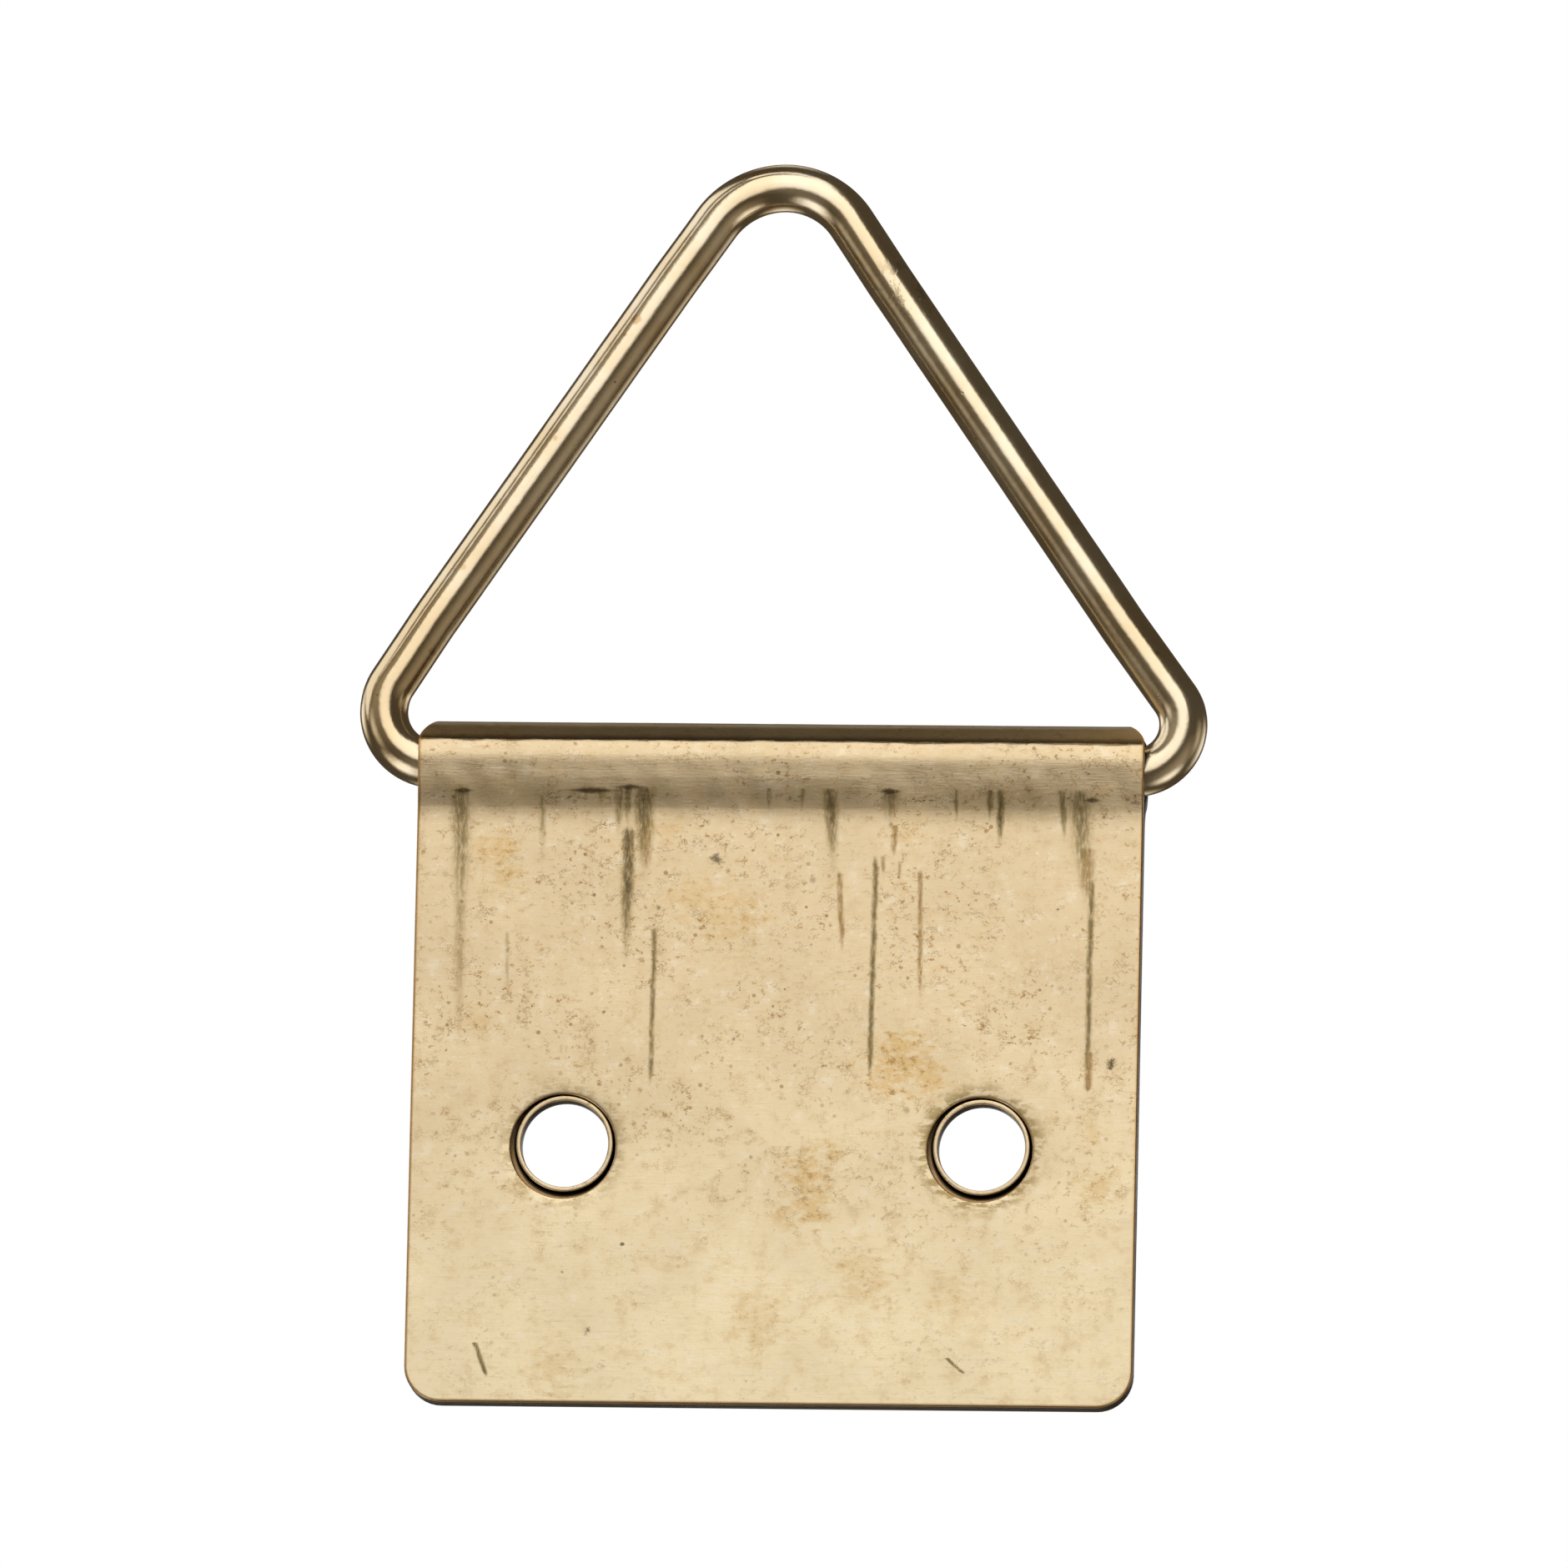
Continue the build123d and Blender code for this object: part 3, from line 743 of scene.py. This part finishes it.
# %% Coats of tarnish, dirt, painted shade and a painted glint, from the lowest to the topmost
coats += [
    # Painted shade over the crease, in grey brass
    (crease_shade_share, "#A8905F"),
    (orange, "#DEBA7C"),
    (add(tree, "Math", pale_flecks, 0.5, operation="MULTIPLY"), "#F8EBD2"),
    (add(tree, "Math", flecks, 0.85, operation="MULTIPLY"), "#A5783E"),
    (add(tree, "Math", dashes, 0.5, operation="MULTIPLY"), "#9C7C50"),
    (add(tree, "Math", fine_specks, 0.75, operation="MULTIPLY"), "#8E6632"),
    (add(tree, "Math", large_specks, 0.75, operation="MULTIPLY"), "#6E5230"),
    (add(tree, "MapRange", brown, 0.0, 0.8, 0.0, 0.85, **SMOOTH), "#9A7844"),
    (add(tree, "MapRange", black, 0.0, 0.55, 0.0, 0.75, **SMOOTH), "#A99262"),
    (add(tree, "MapRange", black, 0.2, 1.05, 0.0, 0.85, **SMOOTH), "#574C34"),
    (add(tree, "Math", worms, 0.8, operation="MULTIPLY"), "#8C6A36"),
    # Painted shade on the top of the fold
    (fold_top_shade, "#8F7A50"),
    # Dark spots, and the painted shade line at the fold's sharp corner
    (add(tree, "Math", dark_spots, corner_shade, operation="MAXIMUM"), "#4A3A24"),
    (add(tree, "Math", crease_line, 0.85, operation="MULTIPLY"), "#3A3222"),
    # Painted shade in the dishes round the front holes
    (add(tree, "Math", dish_shade, 0.8, operation="MULTIPLY"), "#B89C60"),
    # Painted golden glint on the burnished rims
    (add(tree, "Math", rim_glint, 0.55, operation="MULTIPLY"), "#D69E52"),
    (add(tree, "MapRange", edge, 0.6, 0.95, 0.0, 0.95, **SMOOTH), "#3E2F1D"),
]
for share, over in coats:
    colour = add(tree, "Mix", share, named={6: colour, 7: linear(over)}, data_type="RGBA").outputs[2]
print("the strap has", len(coats), "coats of colour")

# %% Relief, roughness and the shader
grain = stretched_noise(tree, where, (1.2, 14.0, 1.0), 3.0, 0.6)
peel = stretched_noise(tree, where, (1.5, 9.0, 1.0), 4.0, 0.65)
peel = add(tree, "Math", peel, on_roll, operation="MULTIPLY")
height = add(tree, "Math", peel, 0.07, add(tree, "Math", grain, 0.02, operation="MULTIPLY"),
             operation="MULTIPLY_ADD")
height = add(tree, "Math", fine_grain, 0.03, height, operation="MULTIPLY_ADD")
relief = add(tree, "Bump", named={"Height": height, "Strength": 1.0, "Distance": 0.1 * MM})
dull = add(tree, "Math", on_roll, 0.06, add(tree, "MapRange", clouds, 0.25, 0.75, 0.26, 0.32, **SMOOTH),
           operation="MULTIPLY_ADD")
# Roughness rises on the drag marks and on the painted dish shade
marks_and_dish_shade = add(tree, "Math", black, dish_shade, operation="MAXIMUM")
dull = add(tree, "Math", marks_and_dish_shade, 0.15, dull, operation="MULTIPLY_ADD")
finish = {"Base Color": colour, "Metallic": 1.0, "Roughness": dull, "Normal": relief}
shader = add(tree, "BsdfPrincipled", named=finish)
add(tree, "OutputMaterial", shader)
strap.data.materials.append(sheet_brass)
print("rolled_sheet_brass has", len(tree.nodes), "nodes and", len(BLACK_MARKS) + len(BROWN_MARKS), "drag marks")

# %% [markdown]
# ## Drawn brass wire
# The wire was pulled through a die and then plated, so it is smoother and paler than the sheet, with very
# fine lines along its length. Those lines spread each highlight round the wire but keep it sharp along
# it. A few flakes on the right leg show where it rubbed in the box, and tarnish dots it here and there.

# %% Drawn wire
wire_brass = bpy.data.materials.new("drawn_brass_wire")
wire_brass.use_nodes = True
tree = wire_brass.node_tree
tree.nodes.clear()
where = add(tree, "Attribute", attribute_name="blank").outputs["Vector"]
place_at = add(tree, "TexCoord").outputs["Object"]
in_mm = add(tree, "VectorMath", place_at, named={"Scale": 1 / MM}, operation="SCALE")
tone = stretched_noise(tree, in_mm, (0.3, 0.3, 0.3), 4.0)
drawn = stretched_noise(tree, where, (11.0, 0.25, 1.0), 3.0)
uneven = stretched_noise(tree, in_mm, (0.9, 0.9, 0.9), 5.0, 0.55)
split_mm = add(tree, "SeparateXYZ", in_mm)
SCUFF_AT = (5.0, -1.4, 36.3)
# Each stain: its place across and up the triangle, its size in mm and its strength
WIRE_STAINS = [
    (-6.5, 34.6, 0.16, 0.55), (-6.9, 34.0, 0.12, 0.5), (-9.7, 29.6, 0.1, 0.4), (-13.4, 24.2, 0.1, 0.35),
    (-15.6, 18.6, 0.14, 0.4), (-14.6, 20.6, 0.13, 0.45), (15.4, 20.8, 0.16, 0.5), (16.2, 18.4, 0.2, 0.4),
    (12.3, 25.2, 0.1, 0.4), (-16.6, 15.6, 0.15, 0.35),
]
dots = specks(tree, in_mm, 0.6, 0.8, 0.08)
scuff_far = add(tree, "VectorMath", in_mm, SCUFF_AT, operation="DISTANCE").outputs["Value"]
flakes = add(tree, "MapRange", stretched_noise(tree, in_mm, (1.8, 1.8, 1.2), 5.0, 0.7), 0.52, 0.6, **SMOOTH)
scuffed = add(tree, "Math", flakes, add(tree, "MapRange", scuff_far, 0.4, 2.2, 1.0, 0.0, **SMOOTH),
              operation="MULTIPLY")
stains = spots(tree, split_mm.outputs["X"], split_mm.outputs["Z"], uneven, WIRE_STAINS)
print(len(WIRE_STAINS), "stains on the wire")

# %% Wire: coats, relief and the shader
colour = linear("#EBD2A8")
coats = [
    (add(tree, "MapRange", tone, 0.3, 0.7, **SMOOTH), "#F8E8CA"),
    (add(tree, "Math", dots, 0.6, operation="MULTIPLY"), "#8A6A40"),
    (add(tree, "MapRange", drawn, 0.6, 0.78, 0.0, 0.3, **SMOOTH), "#C9AE7A"),
    (add(tree, "Math", scuffed, 0.6, operation="MULTIPLY"), "#8E7B5C"),
    (stains, "#B98436"),
]
for share, over in coats:
    colour = add(tree, "Mix", share, named={6: colour, 7: linear(over)}, data_type="RGBA").outputs[2]
height = add(tree, "Math", uneven, 0.16, add(tree, "Math", drawn, 0.016, operation="MULTIPLY"),
             operation="MULTIPLY_ADD")
height = add(tree, "Math", scuffed, -0.05, height, operation="MULTIPLY_ADD")
height = add(tree, "Math", height, add(tree, "Math", dots, 0.04, operation="MULTIPLY"), operation="SUBTRACT")
relief = add(tree, "Bump", named={"Height": height, "Strength": 1.0, "Distance": 0.1 * MM})
dull = add(tree, "Math", scuffed, 0.12, add(tree, "MapRange", tone, 0.25, 0.75, 0.15, 0.2, **SMOOTH),
           operation="MULTIPLY_ADD")
finish = {"Base Color": colour, "Metallic": 1.0, "Roughness": dull, "Normal": relief}
shader = add(tree, "BsdfPrincipled", named=finish)
add(tree, "OutputMaterial", shader)
wire.data.materials.append(wire_brass)
print("drawn_brass_wire has", len(tree.nodes), "nodes")

# %% [markdown]
# ## The camera
# The photograph was taken with a long lens a little below the object and a few degrees to its right. The
# camera's angles, turn and distance were worked out from the places of the strap's edges, holes and
# wire in the picture, and the scale from the strap's 30 mm.

# %% Camera
AZIMUTH, ELEVATION, TURN = math.radians(4.55), math.radians(-10.05), math.radians(1.27)
AWAY, FRAME_WIDTH = 1.2, 1880 / 29.074 * MM
to_camera = Vector((math.sin(AZIMUTH), -math.cos(AZIMUTH), math.tan(ELEVATION))).normalized()
level = Vector((0, 0, 1)).cross(to_camera).normalized()
upright = to_camera.cross(level)
right = level * math.cos(TURN) + upright * math.sin(TURN)
up = upright * math.cos(TURN) - level * math.sin(TURN)
axes = Matrix((right, up, to_camera)).transposed().to_4x4()
lens = bpy.data.cameras.new("camera")
lens.sensor_width = 36.0
lens.lens = 36.0 * AWAY / FRAME_WIDTH
lens.clip_start = 0.01
camera = bpy.data.objects.new("camera", lens)
aim = Vector((0, -LEAF_OUT * MM, 15.2 * MM)) + right * 0.09 * MM
camera.matrix_world = Matrix.Translation(aim + to_camera * AWAY) @ axes
bpy.context.scene.collection.objects.link(camera)
bpy.context.scene.camera = camera
print("lens", round(lens.lens, 1), "mm, frame", round(FRAME_WIDTH / MM, 2), "mm wide at the object")

# %% [markdown]
# ## A light tent
# Polished metal shows nothing but its surroundings, so the surroundings are the lighting. The object
# hangs in a tent, which is one sphere whose glow depends on the direction only, as seen from the eyelet
# round the line to the camera. A large soft panel hangs above the camera and a second one far to the
# left. Dimmer round lamps to the sides, below, above and behind light the other sides of the metal, and
# the cloth between them glows faintly and a little warm. The tent is open at the back to the white room.
# Cameras look through it, and its panels are as bright as white paper, so brass renders at about the
# colour it is given.

# %% Tent: the sphere of cloth
TENT_R, OPEN_FROM = 0.6, 168
bpy.ops.mesh.primitive_uv_sphere_add(segments=96, ring_count=64, radius=TENT_R)
tent = bpy.context.object
tent.name = "light_tent"
limit = TENT_R * math.cos(math.radians(OPEN_FROM))
keep_z = [v.index for v in tent.data.vertices if v.co.z > limit]
tent_mesh = bpy.data.meshes.new("light_tent")
number = {old: new for new, old in enumerate(keep_z)}
tent_faces = [list(p.vertices) for p in tent.data.polygons if all(i in number for i in p.vertices)]
tent_faces = [[number[i] for i in face] for face in tent_faces]
tent_mesh.from_pydata([tent.data.vertices[i].co[:] for i in keep_z], [], tent_faces)
tent.data = tent_mesh
tent.matrix_world = Matrix.Translation(Vector((0, 0, 15 * MM))) @ axes
print("the tent has", len(tent_faces), "faces")

# %% Tent: where the cloth glows
CLOTH_GLOW = 0.07
# Each soft lamp: how far to the right and how high it is seen, its size and its strength
SOFT_LAMPS = [
    (-0.42, 0.3, 0.5, 0.3), (0.42, -0.28, 0.55, 0.3), (-0.16, -0.11, 0.3, 0.17), (-0.62, 0.02, 0.3, 0.7),
    (0.9, -0.1, 0.45, 0.45), (-0.47, -0.5, 0.4, 1.3), (-0.37, -0.36, 0.26, 1.4), (0.44, -0.58, 0.38, 1.2),
    (1.9, -0.5, 1.1, 1.0), (-1.95, 0.1, 1.0, 1.25), (0.0, 2.8, 1.3, 0.8), (0.0, -2.2, 1.3, 0.9),
]
cloth = bpy.data.materials.new("tent_cloth")
cloth.use_nodes = True
tree = cloth.node_tree
tree.nodes.clear()
from_middle = add(tree, "TexCoord").outputs["Object"]
direction = add(tree, "VectorMath", from_middle, operation="NORMALIZE")
split = add(tree, "SeparateXYZ", direction)
forward = add(tree, "Math", add(tree, "Math", split.outputs["Z"], 1.0, operation="ADD"), 0.02,
              operation="MAXIMUM")
px = add(tree, "Math", split.outputs["X"], forward, operation="DIVIDE")
py = add(tree, "Math", split.outputs["Y"], forward, operation="DIVIDE")


def soft_box(tree, sides, soft):
    inside = 1.0
    for at, low, high in sides:
        above = add(tree, "MapRange", at, low - soft, low + soft, **SMOOTH)
        under = add(tree, "MapRange", at, high - soft, high + soft, 1.0, 0.0, **SMOOTH)
        inside = add(tree, "Math", inside, add(tree, "Math", above, under, operation="MULTIPLY"),
                     operation="MULTIPLY")
    return inside


main_panel = soft_box(tree, [(px, -0.28, 0.24), (py, -0.3, 0.80)], 0.02)
bowl = add(tree, "Math", add(tree, "Math", px, operation="ABSOLUTE"), -0.9, py, operation="MULTIPLY_ADD")
main_panel = add(tree, "Math", main_panel, add(tree, "MapRange", bowl, -0.10, 0.07, **SMOOTH),
                 operation="MULTIPLY")
main_panel = add(tree, "Math", main_panel, add(tree, "MapRange", py, 0.1, 0.4, 1.12, 1.34, **SMOOTH),
                 operation="MULTIPLY")
slant_u = add(tree, "Math", px, -0.817, add(tree, "Math", py, 0.577, operation="MULTIPLY"),
              operation="MULTIPLY_ADD")
slant_v = add(tree, "Math", px, 0.577, add(tree, "Math", py, 0.817, operation="MULTIPLY"),
              operation="MULTIPLY_ADD")
side_panel = soft_box(tree, [(slant_u, 0.79, 1.9), (slant_v, -0.5, 0.5)], 0.06)
glow = add(tree, "Math", main_panel, side_panel, operation="MAXIMUM")
for spot_u, spot_v, size, strength in SOFT_LAMPS:
    away = distance_to(tree, px, py, spot_u, spot_v)
    lamp = add(tree, "MapRange", away, 0.0, size, strength, 0.0, **SMOOTH)
    glow = add(tree, "Math", glow, lamp, operation="MAXIMUM")
glow = add(tree, "Math", glow, CLOTH_GLOW, operation="MAXIMUM")
dim_or_bright = add(tree, "MapRange", glow, 0.1, 0.8, **SMOOTH)
tint = add(tree, "Mix", dim_or_bright, named={6: linear("#FFEDCF"), 7: linear("#FFFFFF")}, data_type="RGBA")
light = add(tree, "Emission", tint.outputs[2], glow)
add(tree, "OutputMaterial", light)
tent.data.materials.append(cloth)
cloth.cycles.emission_sampling = "NONE"
tent.visible_camera = tent.visible_shadow = tent.visible_diffuse = False

# %% [markdown]
# ## Floor and room
# A pale floor lies well below the eyelet, and the room round it is plain white, so the background is white
# by its own colour and the metal's rims reflect that same white. Only where the room lights the floor is
# it a twentieth dimmer.

# %% Floor, room and view settings
FLOOR_R, FLOOR_Z = 3.0, -0.62
bpy.ops.mesh.primitive_circle_add(vertices=128, radius=FLOOR_R, fill_type="NGON", location=(0, 0, FLOOR_Z))
floor = bpy.context.object
floor.name = "pale_floor"
paper = bpy.data.materials.new("pale_floor_paper")
paper.use_nodes = True
tree = paper.node_tree
tree.nodes.clear()
matt = add(tree, "BsdfPrincipled", named={"Base Color": linear("#FBFAF8"), "Roughness": 0.9})
add(tree, "OutputMaterial", matt)
floor.data.materials.append(paper)
world = bpy.data.worlds.new("white_room")
world.use_nodes = True
tree = world.node_tree
tree.nodes.clear()
rays = add(tree, "LightPath").outputs
seen = add(tree, "Math", rays["Is Camera Ray"], rays["Is Glossy Ray"], operation="MAXIMUM")
seen = add(tree, "Math", seen, rays["Is Transmission Ray"], operation="MAXIMUM")
room = add(tree, "Background", (1, 1, 1, 1), add(tree, "Math", seen, 0.05, 0.95, operation="MULTIPLY_ADD"))
add(tree, "OutputWorld", room)
bpy.context.scene.world = world
bpy.context.scene.view_settings.view_transform = "Standard"
